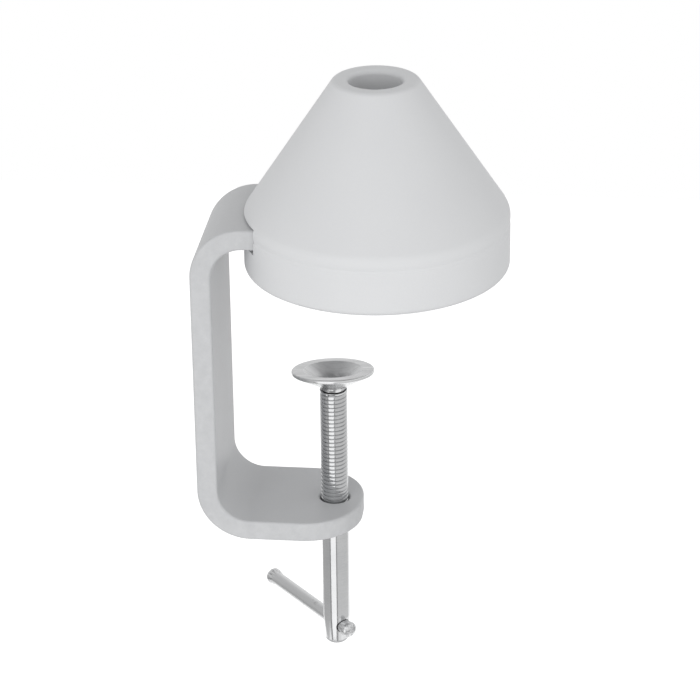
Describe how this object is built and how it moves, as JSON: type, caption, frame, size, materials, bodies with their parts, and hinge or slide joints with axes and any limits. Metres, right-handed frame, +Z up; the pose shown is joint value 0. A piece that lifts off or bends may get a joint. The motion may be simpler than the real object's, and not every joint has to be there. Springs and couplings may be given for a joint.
{
  "type": "table edge clamp",
  "caption": "Table edge clamp: a bent flat-steel bracket under a conical cover with a socket for an arm, and a clamp screw with a swivel pad and a sliding tommy bar.",
  "frame": {"origin": "middle of the grip pad's underside, on the axis of the arm socket; z = 0 is the desk's top", "axes": "+Z up along the socket's axis; +X from the bracket's spine towards the open side; +Y along the strap's width"},
  "size_m": [0.0885, 0.075, 0.1784],
  "materials": {
    "cover_moulding": "light grey moulded plastic, fine satin texture",
    "bracket_paint": "light grey powder coat on flat steel, slightly mottled on the cut edges",
    "grip_rubber": "mid grey matt rubber",
    "black_nylon": "black nylon, satin",
    "zinc_fasteners": "bright zinc plate",
    "screw_steel": "bright plated steel with a rolled thread",
    "pad_steel": "turned and plated steel, tumbled to a soft shine"
  },
  "bodies": {
    "frame": {"bracket": "bracket_paint", "cone_cover": "cover_moulding", "base_plate": "cover_moulding", "grip_pad": "grip_rubber", "cover_screw_1": "zinc_fasteners", "cover_screw_2": "zinc_fasteners", "cover_screw_3": "zinc_fasteners", "socket_tube": "zinc_fasteners", "socket_bush": "black_nylon", "socket_washer": "zinc_fasteners", "socket_bolt": "zinc_fasteners"},
    "rivet": {"pad_rivet": "screw_steel"},
    "pad": {"swivel_pad": "pad_steel"},
    "screw": {"clamp_screw": "screw_steel"},
    "bar": {"tommy_bar": "screw_steel"}
  },
  "joints": [
    {"name": "screw_lift", "type": "slide", "parent": "frame", "child": "rivet", "axis": [0, 0, 1], "range_m": [-0.033, 0.007]},
    {"name": "screw_turn", "type": "hinge", "parent": "rivet", "child": "screw", "pos_m": [-0.013, 0, -0.0373], "axis": [0, 0, 1], "range_deg": [-9540, 2052]},
    {"name": "pad_tilt", "type": "hinge", "parent": "rivet", "child": "pad", "pos_m": [-0.013, 0, -0.0373], "axis": [0.9781, 0.2079, 0], "range_deg": [0, 18]},
    {"name": "bar_slide", "type": "slide", "parent": "screw", "child": "bar", "axis": [-0.6561, 0.7547, 0], "range_m": [-0.0284, 0.0006]}
  ],
  "couplings": [
    {"joint": "screw_turn", "follows": "screw_lift", "rad_per_m": 5026.5}
  ]
}
